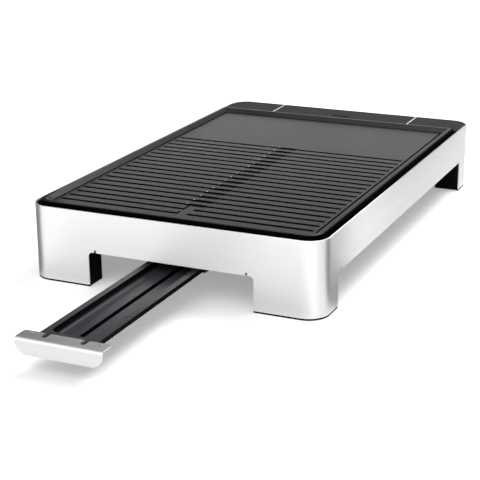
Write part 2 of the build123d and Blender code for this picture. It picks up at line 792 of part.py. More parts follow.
skirt_x = pan_half_width - pan_sheet - cover_skirt_fit
skirt_y = pan_half_length - pan_sheet - cover_skirt_fit
skirt_corner = pan_corner - pan_sheet - cover_skirt_fit
with BuildPart() as control_cover:
    add(cover_slab.part)
    # Locating skirt inside the pan's wall
    with BuildSketch(Plane.XY.offset(cover_bottom)):
        RectangleRounded(2 * skirt_x, 2 * skirt_y, skirt_corner)
        RectangleRounded(2 * (skirt_x - cover_skirt_wall), 2 * (skirt_y - cover_skirt_wall),
                         skirt_corner - cover_skirt_wall, mode=Mode.SUBTRACT)
        with Locations((0, (cover_front - skirt_y) / 2)):
            Rectangle(2 * skirt_x, cover_front + skirt_y, mode=Mode.SUBTRACT)
    extrude(amount=-cover_skirt_drop)
    # Screw bosses that stand on the pan
    with BuildSketch(Plane.XY.offset(pan_floor)):
        with Locations(*cover_screw_places):
            Circle(cover_boss_radius)
    extrude(amount=cover_bottom - pan_floor)
    with BuildSketch(Plane.XY.offset(pan_floor)):
        with Locations(*cover_screw_places):
            Circle(cover_screw_radius + screw_fit)
    extrude(amount=cover_screw_reach, mode=Mode.SUBTRACT)
    # Grip recess, and the slots of the light guides
    with BuildSketch(Plane.XY.offset(cover_top)):
        with Locations((0, grip_y)):
            SlotOverall(grip_width, grip_depth)
    extrude(amount=-grip_sink, mode=Mode.SUBTRACT)
    for side in (-1, 1):
        guide_box(side, Mode.SUBTRACT)
save(control_cover, "control_cover")


def make_light_guide(name, side):
    """White insert that shows which way a knob points, flush with the cover and its edge."""
    with BuildPart() as light_guide:
        add(cover_slab.part)
        guide_box(side, Mode.INTERSECT)
    save(light_guide, name)


make_light_guide("light_guide_left", -1)
make_light_guide("light_guide_right", 1)

with BuildPart() as indicator_lamps:
    with Locations(*[(side * knob_x, lamp_y, cover_bottom - lamp_height / 2) for side in (-1, 1)]):
        Box(lamp_width, lamp_length, lamp_height)
    fillet(edges().filter_by(Axis.Y), lamp_round)
save(indicator_lamps, "indicator_lamps")


# Thermostats, their nuts, the shafts and the knobs
def make_thermostat(name, side):
    """Thermostat block with its threaded bushing through the rear wall."""
    back = pan_half_length - pan_sheet - thermostat_back_gap
    with BuildPart() as thermostat:
        with Locations((side * knob_x, back - thermostat_depth / 2, knob_z)):
            Box(thermostat_width, thermostat_depth, thermostat_height)
        fillet(edges().filter_by(Axis.Y), thermostat_round)
        with BuildSketch(Plane.XZ.offset(-back)):
            with Locations((side * knob_x, knob_z)):
                Circle(bushing_radius)
        extrude(amount=-(half_length + bushing_reach - back))
        tab_y = back - thermostat_depth - tab_length / 2
        with Locations(*[(side * knob_x + x, tab_y, knob_z + thermostat_tab_rise)
                         for x in (-thermostat_tab_x, thermostat_tab_x)]):
            Box(tab_width, tab_length, tab_sheet)
        with BuildSketch(Plane.XZ.offset(-shaft_inner)):
            with Locations((side * knob_x, knob_z)):
                Circle(shaft_radius + shaft_fit)
        extrude(amount=-(half_length + bushing_reach - shaft_inner), mode=Mode.SUBTRACT)
    save(thermostat, name)


make_thermostat("thermostat_left", -1)
make_thermostat("thermostat_right", 1)

with BuildPart() as bushing_nuts:
    with BuildSketch(Plane.XZ.offset(-half_length)):
        with Locations((-knob_x, knob_z), (knob_x, knob_z)):
            RegularPolygon(nut_flats / 2, 6, major_radius=False)
            Circle(bushing_radius + screw_fit, mode=Mode.SUBTRACT)
    extrude(amount=-nut_height)
save(bushing_nuts, "bushing_nuts")


def shaft_outline(side, gap):
    """A round shaft with one flat, in the open sketch."""
    with Locations((side * knob_x, knob_z)):
        Circle(shaft_radius + gap)
    with Locations((side * knob_x, knob_z + shaft_flat + gap + shaft_radius)):
        Rectangle(4 * shaft_radius, 2 * shaft_radius, mode=Mode.SUBTRACT)


def make_shaft(name, side):
    """Control shaft: round in the bushing, flatted inside the knob."""
    flat_start = knob_back + knob_pocket_depth
    with BuildPart() as shaft:
        with BuildSketch(Plane.XZ.offset(-shaft_inner - rest_gap)):
            with Locations((side * knob_x, knob_z)):
                Circle(shaft_radius)
        extrude(amount=-(flat_start - shaft_inner - rest_gap))
        with BuildSketch(Plane.XZ.offset(-flat_start)):
            shaft_outline(side, 0)
        extrude(amount=-(knob_face - shaft_cap - shaft_fit - flat_start))
    save(shaft, name)


def make_knob(name, side):
    """Fluted knob that tapers to its face, with a pointer line and a pocket over the nut."""
    with BuildPart() as knob:
        with BuildSketch(Plane.XZ.offset(-knob_back)):
            with Locations((side * knob_x, knob_z)):
                Circle(knob_radius)
        with BuildSketch(Plane.XZ.offset(-knob_face)):
            with Locations((side * knob_x, knob_z)):
                Circle(knob_front_radius)
        loft()
        fillet(edges().filter_by(GeomType.CIRCLE).sort_by(Axis.Y)[-1], knob_edge_round)
        with BuildSketch(Plane.XZ.offset(-knob_back - knob_plain_edge)):
            with Locations((side * knob_x, knob_z)):
                with PolarLocations(knob_radius + flute_radius / 3, knob_flutes):
                    Circle(flute_radius)
        extrude(amount=-knob_depth, mode=Mode.SUBTRACT)
        with BuildSketch(Plane.XZ.offset(-knob_back)):
            with Locations((side * knob_x, knob_z)):
                Circle(knob_pocket_radius)
        extrude(amount=-knob_pocket_depth, mode=Mode.SUBTRACT)
        with BuildSketch(Plane.XZ.offset(-knob_back)):
            shaft_outline(side, shaft_fit)
        extrude(amount=-(knob_depth - shaft_cap), mode=Mode.SUBTRACT)
        with BuildSketch(Plane.XZ.offset(-knob_face)):
            with Locations((side * knob_x, knob_z + knob_front_radius / 2)):
                Rectangle(knob_pointer_width, knob_front_radius)
        extrude(amount=knob_pointer_sink, mode=Mode.SUBTRACT)
    save(knob, name)


make_shaft("shaft_left", -1)
make_shaft("shaft_right", 1)
make_knob("knob_left", -1)
make_knob("knob_right", 1)

# Mains inlet: gland in the rear wall and the terminal block behind it
with BuildPart() as cord_gland:
    with BuildSketch(Plane.XZ.offset(-gland_inner)):
        with Locations((0, gland_z)):
            Circle(gland_barrel_radius)
    extrude(amount=-(half_length - gland_inner))
    with BuildSketch(Plane.XZ.offset(-half_length)):
        with Locations((0, gland_z)):
            Circle(gland_flange_radius)
    extrude(amount=-gland_flange)
    fillet(edges().filter_by(GeomType.CIRCLE).sort_by(Axis.Y)[-1], gland_edge_round)
    with BuildSketch(Plane.XZ.offset(-gland_inner)):
        with Locations((0, gland_z)):
            Circle(gland_bore)
    extrude(amount=-(half_length + gland_flange - gland_inner), mode=Mode.SUBTRACT)
    # The bore widens to a mouth, so that the lead bends gently
    with BuildSketch(Plane.XZ.offset(-gland_bore_end)):
        with Locations((0, gland_z)):
            Circle(gland_bore)
    with BuildSketch(Plane.XZ.offset(-half_length - gland_flange)):
        with Locations((0, gland_z)):
            Circle(gland_mouth)
    loft(mode=Mode.SUBTRACT)
save(cord_gland, "cord_gland")

with BuildPart() as terminal_block:
    with Locations((0, block_y + block_depth / 2, pan_floor + block_height / 2)):
        Box(block_width, block_depth, block_height)
    way = block_width / block_ways
    with Locations(*[((n - (block_ways - 1) / 2) * way, block_y + block_depth / 2, pan_floor + block_height)
                     for n in range(block_ways)]):
        Cylinder(way / 4, block_height, mode=Mode.SUBTRACT)
save(terminal_block, "terminal_block")

# Drip tray: rim with down-turned skirts, rounded trough and a narrow channel along its floor
channel_front = trough_front + channel_end
channel_rear = trough_rear - channel_end / 2
trough_height = tray_rim - trough_floor
with BuildPart() as trough_inside:
    with BuildSketch(Plane.XY.offset(trough_floor)):
        with Locations((0, trough_middle)):
            RectangleRounded(2 * trough_half_width, trough_length, trough_corner)
    extrude(amount=2 * trough_height)
    fillet(edges().group_by(Axis.Z)[0], trough_fillet)

with BuildPart() as drip_tray:
    # Rounded trough
    with BuildSketch(Plane.XY.offset(trough_floor - trough_wall)):
        with Locations((0, trough_middle)):
            RectangleRounded(2 * (trough_half_width + trough_wall), trough_length + 2 * trough_wall,
                             trough_corner + trough_wall)
    extrude(amount=trough_height + trough_wall)
    fillet(edges().group_by(Axis.Z)[0], trough_fillet + trough_wall)
    # Channel under the trough
    with BuildSketch(Plane.XY.offset(trough_floor)):
        rectangle_between(-channel_half_width - trough_wall, channel_half_width + trough_wall,
                          channel_front - trough_wall, channel_rear + trough_wall)
    extrude(amount=-channel_depth - trough_wall)
    # Rim and its skirts
    with BuildSketch(Plane.XY.offset(tray_rim)):
        rectangle_between(-tray_half_width, tray_half_width, tray_front, tray_rear)
    extrude(amount=-tray_skirt)
    with BuildSketch(Plane.XY.offset(tray_rim - tray_skirt)):
        rectangle_between(-tray_half_width + tray_wall, -trough_half_width - trough_wall,
                          tray_front, tray_rear - tray_wall)
        rectangle_between(trough_half_width + trough_wall, tray_half_width - tray_wall,
                          tray_front, tray_rear - tray_wall)
    extrude(amount=tray_skirt - tray_wall, mode=Mode.SUBTRACT)
    # Ledge that carries the handle, and the tongues that locate it
    with BuildSketch(Plane.XY.offset(ledge_top)):
        rectangle_between(-ledge_half_width, ledge_half_width,
                          handle_front + handle_bend, handle_rear - handle_sheet)
        rectangle_between(-trough_half_width, trough_half_width,
                          handle_rear - 2 * handle_sheet, trough_front)
    extrude(amount=-ledge_thickness)
    with BuildSketch(Plane.XY.offset(ledge_top)):
        with Locations(*[(side * tongue_x, handle_rear - tongue_length / 2 + tongue_width / 2)
                         for side in (-1, 1)]):
            SlotOverall(tongue_length + tongue_width, tongue_width, rotation=90)
    extrude(amount=handle_sheet + tongue_proud)
    with BuildSketch(Plane.XY.offset(ledge_top)):
        with Locations(*[(side * rivet_x, handle_rear - rivet_inset) for side in (-1, 1)]):
            Circle(rivet_radius + screw_fit)
    extrude(amount=-ledge_thickness, mode=Mode.SUBTRACT)
    add(trough_inside.part, mode=Mode.SUBTRACT)
    with BuildSketch(Plane.XY.offset(trough_floor)):
        rectangle_between(-channel_half_width, channel_half_width, channel_front, channel_rear)
    extrude(amount=-channel_depth, mode=Mode.SUBTRACT)
save(drip_tray, "drip_tray")

# Handle: steel sheet folded down over the ledge, with rounded lower corners
with BuildPart() as tray_handle:
    with BuildSketch(Plane.YZ.offset(-handle_half_width)):
        with BuildLine():
            outer_fold = (handle_front + handle_bend, handle_top)
            Line((handle_rear, handle_top), outer_fold)
            RadiusArc(outer_fold, (handle_front, handle_top - handle_bend), -handle_bend)
            Line((handle_front, handle_top - handle_bend), (handle_front, handle_bottom))
            Line((handle_front, handle_bottom), (handle_front + handle_sheet, handle_bottom))
            inner_fold = (handle_front + handle_sheet, handle_top - handle_bend)
            Line((handle_front + handle_sheet, handle_bottom), inner_fold)
            RadiusArc(inner_fold, (outer_fold[0], ledge_top), handle_bend - handle_sheet)
            Line((outer_fold[0], ledge_top), (handle_rear, ledge_top))
            Line((handle_rear, ledge_top), (handle_rear, handle_top))
        make_face()
    extrude(amount=2 * handle_half_width)
    lower_corners = edges().filter_by(Axis.Y).group_by(Axis.Z)[0]
    fillet(lower_corners, handle_corner)
    rear_corners = edges().filter_by(Axis.Z).group_by(Axis.Y)[-1]
    fillet(rear_corners, handle_rear_corner)
    # Notches round the tongues, and the rivet holes
    with BuildSketch(Plane.XY.offset(ledge_top)):
        notch_length = tongue_length + tongue_width + 2 * handle_notch_gap
        with Locations(*[(side * tongue_x, handle_rear - tongue_length / 2 + tongue_width / 2)
                         for side in (-1, 1)]):
            SlotOverall(notch_length, tongue_width + 2 * handle_notch_gap, rotation=90)
        with Locations(*[(side * rivet_x, handle_rear - rivet_inset) for side in (-1, 1)]):
            Circle(rivet_radius + screw_fit)
    extrude(amount=handle_sheet, mode=Mode.SUBTRACT)
save(tray_handle, "tray_handle")

with BuildPart() as tray_rivets:
    rivet_places = [(side * rivet_x, handle_rear - rivet_inset) for side in (-1, 1)]
    rivet_seat = ledge_top - ledge_thickness
    with BuildSketch(Plane.XY.offset(rivet_seat - rivet_head)):
        with Locations(*rivet_places):
            Circle(rivet_head_radius)
    extrude(amount=rivet_head)
    with BuildSketch(Plane.XY.offset(rivet_seat)):
        with Locations(*rivet_places):
            Circle(rivet_radius)
    extrude(amount=handle_top - rivet_sink - rivet_seat)
save(tray_rivets, "tray_rivets")
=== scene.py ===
# %% [markdown]
# # A table grill with a pulled-out drip drawer
# This lesson dresses a finished CAD model. The steel band, the cast plate, the drawer and the
# controls already have their true shapes, so the work here is the camera, the light, the finishes,
# and the small pieces that are quicker to shape by hand than to draw in CAD.

import math

import bmesh
import bpy
from mathutils import Matrix, Vector


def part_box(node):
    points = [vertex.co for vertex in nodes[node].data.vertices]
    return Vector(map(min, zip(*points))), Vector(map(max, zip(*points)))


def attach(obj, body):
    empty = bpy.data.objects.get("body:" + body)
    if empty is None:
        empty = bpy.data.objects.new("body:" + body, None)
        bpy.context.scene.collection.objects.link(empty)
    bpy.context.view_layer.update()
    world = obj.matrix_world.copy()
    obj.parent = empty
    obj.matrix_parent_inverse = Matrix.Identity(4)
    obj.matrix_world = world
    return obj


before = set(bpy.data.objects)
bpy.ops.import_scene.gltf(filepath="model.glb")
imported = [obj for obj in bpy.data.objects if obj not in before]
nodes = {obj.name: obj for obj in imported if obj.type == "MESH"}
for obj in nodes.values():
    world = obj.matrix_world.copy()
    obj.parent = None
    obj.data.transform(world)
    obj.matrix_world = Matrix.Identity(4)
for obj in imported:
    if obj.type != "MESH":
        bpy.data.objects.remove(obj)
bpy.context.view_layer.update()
mm = 0.001
QUARTER = math.pi / 2

# %% [markdown]
# ## The camera
# The photograph is a long-lens view from the front right corner, a little above the plate. A camera
# set by eye would be out by a few pixels at some edge or other. Here the place and the three angles
# were solved from measured corners of the grill, so the render lines up with the photograph without
# any shift of the lens.

# %% Camera
CAMERA_PLACE = Vector((605.03, -1424.56, 503.79)) * mm
CAMERA_YAW = -0.4273
CAMERA_PITCH = 0.3263
CAMERA_ROLL = -0.008
CAMERA_LENS = 99.63


def camera_matrix(place, yaw, pitch, roll):
    """The camera's place and turn, from a heading, a downward tilt and a roll."""
    forward = Vector((math.sin(yaw) * math.cos(pitch), math.cos(yaw) * math.cos(pitch), -math.sin(pitch)))
    right = Vector((math.cos(yaw), -math.sin(yaw), 0.0))
    up = right.cross(forward)
    rolled_right = right * math.cos(roll) + up * math.sin(roll)
    rolled_up = up * math.cos(roll) - right * math.sin(roll)
    turn = Matrix((rolled_right, rolled_up, -forward)).transposed()
    return Matrix.Translation(place) @ turn.to_4x4()


camera = bpy.data.objects.new("camera", bpy.data.cameras.new("camera"))
bpy.context.scene.collection.objects.link(camera)
camera.matrix_world = camera_matrix(CAMERA_PLACE, CAMERA_YAW, CAMERA_PITCH, CAMERA_ROLL)
camera.data.lens = CAMERA_LENS
camera.data.sensor_width = 36.0
camera.data.sensor_fit = "HORIZONTAL"
camera.data.clip_start = 0.05
camera.data.clip_end = 30.0
bpy.context.scene.camera = camera
bpy.context.scene.view_settings.view_transform = "Standard"
print("camera at", [round(v, 3) for v in camera.location])

# %% [markdown]
# ## A helper for node trees
# Every material below is a small graph. It could be built by hand in the editor, but a script can be
# read and repeated. A helper that adds a node, sets its sockets and plugs in its links keeps each
# graph readable, and short ones on top of it stand for a sum, a range and a mix of colours.

# %% Node helpers
def add_node(tree, kind, values=None, **settings):
    """Add a node, set its properties, then set or link its inputs."""
    node = tree.nodes.new(kind)
    for name, value in settings.items():
        setattr(node, name, value)
    for key, value in (values or {}).items():
        if isinstance(value, bpy.types.NodeSocket):
            tree.links.new(value, node.inputs[key])
        else:
            node.inputs[key].default_value = value
    return node


def new_material(name):
    """A material with an empty tree apart from its Principled shader and its output."""
    material = bpy.data.materials.new(name)
    material.use_nodes = True
    tree = material.node_tree
    shader = tree.nodes["Principled BSDF"]
    return material, tree, shader


def new_group(name, inputs, outputs):
    """A shader node group with named sockets."""
    tree = bpy.data.node_groups.new(name, "ShaderNodeTree")
    for socket_name, socket_type, value in inputs:
        socket = tree.interface.new_socket(socket_name, in_out="INPUT", socket_type=socket_type)
        socket.default_value = value
    for socket_name, socket_type in outputs:
        tree.interface.new_socket(socket_name, in_out="OUTPUT", socket_type=socket_type)
    entry = tree.nodes.new("NodeGroupInput")
    exit_node = tree.nodes.new("NodeGroupOutput")
    return tree, entry.outputs, exit_node.inputs


def use_group(tree, group, values=None):
    """Place a group in a material and set its inputs."""
    return add_node(tree, "ShaderNodeGroup", values, node_tree=group)


def add_math(tree, operation, first, second):
    """The result of one sum or product."""
    return add_node(tree, "ShaderNodeMath", {0: first, 1: second}, operation=operation).outputs[0]


def map_range(tree, value, source, target, kind="LINEAR"):
    """A value carried from one range to another."""
    values = {"Value": value, "From Min": source[0], "From Max": source[1],
              "To Min": target[0], "To Max": target[1]}
    return add_node(tree, "ShaderNodeMapRange", values, interpolation_type=kind).outputs["Result"]


def mix_colours(tree, mask, first, second):
    """A mix of two colours. The sockets go by number, since those of other types share their names."""
    values = {"Factor": mask, 6: first, 7: second}
    return add_node(tree, "ShaderNodeMix", values, data_type="RGBA").outputs[2]


# %% [markdown]
# ## Grain that several metals share
# Brushed steel is covered with fine parallel scratches. One noise, stretched hard along the rubbing
# direction, gives them. A second, broader one gives the soft bands of tone between them. Both sit in
# one group, so the band, the handle and the small plated parts use it with their own values.

# %% Group: brushed grain
def build_grain_group():
    """Scratches along one direction: a height for the bump and a tone for colour and roughness."""
    tree, given, result = new_group(
        "brushed grain",
        [("Stretch", "NodeSocketVector", (6.0, 6.0, 900.0)),
         ("Band Stretch", "NodeSocketVector", (3.0, 3.0, 160.0))],
        [("Height", "NodeSocketFloat"), ("Tone", "NodeSocketFloat")])
    place = add_node(tree, "ShaderNodeTexCoord").outputs["Object"]
    fine_place = add_node(tree, "ShaderNodeVectorMath", {0: place, 1: given["Stretch"]},
                          operation="MULTIPLY").outputs[0]
    band_place = add_node(tree, "ShaderNodeVectorMath", {0: place, 1: given["Band Stretch"]},
                          operation="MULTIPLY").outputs[0]
    fine = add_node(tree, "ShaderNodeTexNoise",
                    {"Vector": fine_place, "Scale": 1.0, "Detail": 3.0, "Roughness": 0.6}).outputs["Fac"]
    band = add_node(tree, "ShaderNodeTexNoise",
                    {"Vector": band_place, "Scale": 1.0, "Detail": 2.0}).outputs["Fac"]
    tree.links.new(fine, result["Height"])
    tree.links.new(add_math(tree, "MULTIPLY", add_math(tree, "ADD", fine, band), 0.5), result["Tone"])
    return tree


grain_group = build_grain_group()
print("group:", grain_group.name)

# %% [markdown]
# ## Fine texture that mouldings and coatings share
# Moulded plastic and baked coatings are never quite smooth: they have a fine, even pitting and a
# slow change of gloss. An image of such a face would repeat, and a noise does not. The group puts
# out a height for the bump and a slow mask for the gloss.

# %% Group: fine texture
def build_texture_group():
    """Pitting at one scale and a slow cloud at another."""
    tree, given, result = new_group(
        "fine texture",
        [("Grain Scale", "NodeSocketFloat", 1500.0), ("Cloud Scale", "NodeSocketFloat", 18.0)],
        [("Height", "NodeSocketFloat"), ("Cloud", "NodeSocketFloat")])
    place = add_node(tree, "ShaderNodeTexCoord").outputs["Object"]
    pits = add_node(tree, "ShaderNodeTexNoise",
                    {"Vector": place, "Scale": given["Grain Scale"], "Detail": 2.0})
    cloud = add_node(tree, "ShaderNodeTexNoise",
                     {"Vector": place, "Scale": given["Cloud Scale"], "Detail": 4.0, "Roughness": 0.6})
    tree.links.new(pits.outputs["Fac"], result["Height"])
    tree.links.new(cloud.outputs["Fac"], result["Cloud"])
    return tree


texture_group = build_texture_group()
print("group:", texture_group.name)

# %% [markdown]
# ## Which way a surface faces
# A coating catches the light on its flat tops, while its steep sides and the insides of grooves lie in
# shade. That shade is painted here: the steep faces get a near-black colour and lose their gloss. Each
# face could be picked by hand and given a second finish. The surface's own direction tells the two
# apart without that, so a third group turns it into a mask.

# %% Group: steep sides
def build_steep_group():
    """A mask of 0 on level faces and 1 on steep ones."""
    tree, given, result = new_group(
        "steep sides", [("Level", "NodeSocketFloat", 0.9), ("Steep", "NodeSocketFloat", 0.5)],
        [("Mask", "NodeSocketFloat")])
    facing = add_node(tree, "ShaderNodeTexCoord").outputs["Normal"]
    up = add_node(tree, "ShaderNodeSeparateXYZ", {0: facing}).outputs["Z"]
    mask = map_range(tree, up, (given["Steep"], given["Level"]), (1.0, 0.0), "SMOOTHSTEP")
    tree.links.new(mask, result["Mask"])
    return tree


steep_group = build_steep_group()
print("group:", steep_group.name)

# %% [markdown]
# ## Brushed steel
# The band is bright stainless sheet, rubbed along its length, so every face has level scratches.
# A picture of brushed steel would show its seams at the bends. The grain group has none, and the
# metal is kept bright and fairly rough: it gives back the white surroundings as a soft glow with
# faint level streaks, and no sharp picture of anything. One function makes all the metals.

# %% Finish: the metals
NOISE_RANGE = (0.3, 0.7)
METAL_GRAIN_DEPTH = 0.0002
ANISOTROPY = 0.8
GRAIN_TURN = 0.25


def bump_normal(tree, height, strength, distance):
    """A Bump node fed by a height."""
    values = {"Height": height, "Strength": strength, "Distance": distance}
    return add_node(tree, "ShaderNodeBump", values).outputs[0]


def spread(tree, noise, low, high):
    """A noise carried from the range where nearly all of it lies to another one."""
    return map_range(tree, noise, NOISE_RANGE, (low, high))


def blend_colours(tree, noise, first, second):
    """A colour that wanders between two with a noise."""
    return mix_colours(tree, spread(tree, noise, 0.0, 1.0), (*first, 1.0), (*second, 1.0))


def make_metal(name, dark, bright, smooth, rough, bump, stretch, band_stretch, metallic=1.0,
               upright=False):
    """A brushed metal, from its two tones, its two roughnesses and the direction of its grain."""
    material, tree, shader = new_material(name)
    grain = use_group(tree, grain_group, {"Stretch": stretch, "Band Stretch": band_stretch})
    colour = blend_colours(tree, grain.outputs["Tone"], dark, bright)
    if upright:
        shader.inputs["Anisotropic"].default_value = ANISOTROPY
        shader.inputs["Anisotropic Rotation"].default_value = GRAIN_TURN
        tangent = add_node(tree, "ShaderNodeTangent", direction_type="RADIAL", axis="Z")
        tree.links.new(tangent.outputs[0], shader.inputs["Tangent"])
    tree.links.new(colour, shader.inputs["Base Color"])
    tree.links.new(spread(tree, grain.outputs["Tone"], rough, smooth), shader.inputs["Roughness"])
    normal = bump_normal(tree, grain.outputs["Height"], bump, METAL_GRAIN_DEPTH)
    tree.links.new(normal, shader.inputs["Normal"])
    shader.inputs["Metallic"].default_value = metallic
    return material


band_steel = make_metal(
    "brushed steel band", (0.86, 0.86, 0.86), (0.90, 0.90, 0.90), 0.46, 0.50, 0.06,
    (6.0, 6.0, 1100.0), (2.0, 2.0, 150.0), metallic=0.8, upright=True)
handle_steel = make_metal(
    "brushed steel handle", (0.76, 0.76, 0.76), (0.82, 0.82, 0.82), 0.36, 0.44, 0.08,
    (8.0, 1100.0, 1100.0), (3.0, 260.0, 260.0))
plated_steel = make_metal(
    "plated steel", (0.50, 0.50, 0.47), (0.66, 0.66, 0.63), 0.25, 0.45, 0.10,
    (300.0, 300.0, 300.0), (60.0, 60.0, 60.0))
dish_sheet = make_metal(
    "bright dish sheet", (0.62, 0.62, 0.61), (0.80, 0.80, 0.80), 0.16, 0.34, 0.08,
    (500.0, 14.0, 14.0), (60.0, 4.0, 4.0))
element_tube = make_metal(
    "heated tube", (0.05, 0.048, 0.046), (0.13, 0.12, 0.115), 0.38, 0.58, 0.10,
    (260.0, 260.0, 260.0), (30.0, 30.0, 30.0))
brass_tabs = make_metal(
    "brass tabs", (0.50, 0.34, 0.12), (0.68, 0.50, 0.20), 0.25, 0.40, 0.10,
    (300.0, 300.0, 300.0), (60.0, 60.0, 60.0))
print("metals made: 6")

# %% [markdown]
# ## Mouldings, coatings and paint
# The plate has a dark baked coating with a fine, slightly pebbled face. The drawer tray is a
# smoother, glossier moulding, and the feet, the cover and the knobs are matte. One function makes
# them all from a pair of tones, a pair of roughnesses and the scale of the pitting.

# %% Finish: coatings and mouldings
MOULDING_GRAIN_DEPTH = 0.0003
SIDE_ROUGHNESS = 0.8


def make_moulding(name, dark, light, smooth, rough, grain_scale, bump, specular=0.5, painted_shade_colour=None):
    """A moulded, painted or coated surface, with painted shade, near black and dull, on its steep sides
    where a shade colour is given.
    """
    material, tree, shader = new_material(name)
    texture = use_group(tree, texture_group, {"Grain Scale": grain_scale})
    colour = blend_colours(tree, texture.outputs["Cloud"], dark, light)
    roughness = spread(tree, texture.outputs["Cloud"], smooth, rough)
    # Painted shade: the steep faces take a near-black colour and no gloss, standing in for the shade on
    # them.
    if painted_shade_colour:
        mask = use_group(tree, steep_group).outputs["Mask"]
        colour = mix_colours(tree, mask, colour, (*painted_shade_colour, 1.0))
        values = {"Factor": mask, "A": roughness, "B": SIDE_ROUGHNESS}
        roughness = add_node(tree, "ShaderNodeMix", values).outputs["Result"]
        # A metal of a nearly black colour mirrors almost nothing, so this takes the gloss off the sides as
        # part of the painted shade.
        tree.links.new(mask, shader.inputs["Metallic"])
    tree.links.new(colour, shader.inputs["Base Color"])
    tree.links.new(roughness, shader.inputs["Roughness"])
    normal = bump_normal(tree, texture.outputs["Height"], bump, MOULDING_GRAIN_DEPTH)
    tree.links.new(normal, shader.inputs["Normal"])
    shader.inputs["Specular IOR Level"].default_value = specular
    return material


# The steep sides and groove walls of the plate and the tray get painted shade.
plate_coating = make_moulding(
    "dark baked coating", (0.009, 0.009, 0.0093), (0.012, 0.012, 0.0125), 0.27, 0.30, 3200.0, 0.04,
    painted_shade_colour=(0.003, 0.003, 0.003))
tray_moulding = make_moulding(
    "semi-gloss tray moulding", (0.036, 0.034, 0.040), (0.044, 0.042, 0.048), 0.26, 0.34, 1800.0, 0.04,
    specular=0.16, painted_shade_colour=(0.006, 0.006, 0.007))
cover_moulding = make_moulding(
    "dark grey cover moulding", (0.011, 0.0106, 0.0125), (0.015, 0.0146, 0.0165), 0.50, 0.60, 1600.0, 0.20,
    specular=0.22)
foot_moulding = make_moulding(
    "black foot moulding", (0.002, 0.002, 0.002), (0.003, 0.003, 0.003), 0.60, 0.70, 1500.0, 0.20,
    specular=0.05)
knob_moulding = make_moulding(
    "black knob moulding", (0.012, 0.012, 0.013), (0.018, 0.018, 0.019), 0.36, 0.46, 1800.0, 0.12)
pan_paint = make_moulding(
    "black heat-resistant paint", (0.006, 0.006, 0.006), (0.010, 0.010, 0.010), 0.50, 0.65, 700.0, 0.15,
    specular=0.25)
pad_rubber = make_moulding(
    "pad rubber", (0.022, 0.022, 0.022), (0.034, 0.033, 0.032), 0.70, 0.85, 1200.0, 0.25)
insulator = make_moulding(
    "pale insulator", (0.50, 0.47, 0.41), (0.60, 0.57, 0.50), 0.45, 0.60, 900.0, 0.15)
white_insert = make_moulding(
    "white insert", (0.78, 0.78, 0.76), (0.86, 0.86, 0.84), 0.25, 0.35, 900.0, 0.05)
amber_lamp = make_moulding(
    "amber lamp", (0.62, 0.22, 0.03), (0.75, 0.30, 0.05), 0.15, 0.25, 900.0, 0.05)
print("coatings and mouldings made: 10")

# %% [markdown]
# ## Each node gets its finish
# The CAD meshes stay as they are, and only their material slots change. One line of code for each
# node would do it. A table is shorter, and shows at a glance which parts share a finish.

# %% Assign the finishes
finishes = {
    "steel_band": band_steel, "tray_handle": handle_steel,
    "foot_front_left": foot_moulding, "foot_front_right": foot_moulding,
    "foot_rear_left": foot_moulding, "foot_rear_right": foot_moulding,
    "rubber_pads": pad_rubber, "base_pan": pan_paint, "housing_screws": plated_steel,
    "cover_screws": plated_steel, "rail_left": pan_paint, "rail_right": pan_paint,
    "heat_reflector": dish_sheet, "reflector_standoffs": plated_steel, "element_rib_zone": element_tube,
    "element_flat_zone": element_tube, "element_terminals": brass_tabs, "element_supports": plated_steel,
    "plate_rests": foot_moulding, "firewall": pan_paint, "grill_plate": plate_coating,
    "control_cover": cover_moulding, "light_guide_left": white_insert, "light_guide_right": white_insert,
    "indicator_lamps": amber_lamp, "thermostat_left": insulator, "thermostat_right": insulator,
    "bushing_nuts": plated_steel, "shaft_left": plated_steel, "shaft_right": plated_steel,
    "knob_left": knob_moulding, "knob_right": knob_moulding, "cord_gland": foot_moulding,
    "terminal_block": insulator, "drip_tray": tray_moulding, "tray_rivets": plated_steel,
}
for node_name, finish in finishes.items():
    slots = nodes[node_name].data.materials
    slots.clear()
    slots.append(finish)
print("nodes finished:", len(finishes), "of", len(nodes))

# %% [markdown]
# ## From a bmesh to a piece
# Every small piece below is shaped in a bmesh at its final place and then handed to the same helper,
# which gives it a mesh, a finish and the body it moves with. Modifiers could shape them too, but the
# steps of a bmesh all stand in the script. Shapes that repeat are made once and copied, so each keeps
# only a few dozen faces.

# %% Piece helpers: from a shape to an object
def make_object(name, shape, material):
    """An object at the origin with the shape as its mesh. The shape is used up."""
    mesh = bpy.data.meshes.new(name)
    shape.to_mesh(mesh)
    shape.free()
    mesh.materials.append(material)
    made = bpy.data.objects.new(name, mesh)
    bpy.context.scene.collection.objects.link(made)
    return made


def finish_piece(name, shape, material, body):
    """Make an object of the shape, give it a finish and let it ride on a body."""
    bmesh.ops.recalc_face_normals(shape, faces=shape.faces)
    piece = make_object(name, shape, material)
    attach(piece, body)
    print(name, "faces:", len(piece.data.polygons))


# %% Piece helpers: copies
MIRROR_X = Matrix.Scale(-1.0, 4, (1.0, 0.0, 0.0))
MIRROR_Y = Matrix.Scale(-1.0, 4, (0.0, 1.0, 0.0))


def only_verts(items):
    """The vertices among the pieces of geometry that an operator gives back."""
    return [item for item in items if isinstance(item, bmesh.types.BMVert)]


def copy_part(shape, verts, matrix):
    """Copy the geometry that some vertices carry, and move the copy."""
    picked = set(verts)
    edges = [edge for edge in shape.edges if picked.issuperset(edge.verts)]
    faces = [face for face in shape.faces if picked.issuperset(face.verts)]
    copy = bmesh.ops.duplicate(shape, geom=[*verts, *edges, *faces])["geom"]
    bmesh.ops.transform(shape, matrix=matrix, verts=only_verts(copy))


def repeat_part(shape, places):
    """Copy the whole shape to each place, then drop the first one."""
    first = shape.verts[:]
    for place in places:
        copy_part(shape, first, Matrix.Translation(place))
    bmesh.ops.delete(shape, geom=first, context="VERTS")


# %% Piece helpers: basic shapes
ON_AXIS = 1e-6


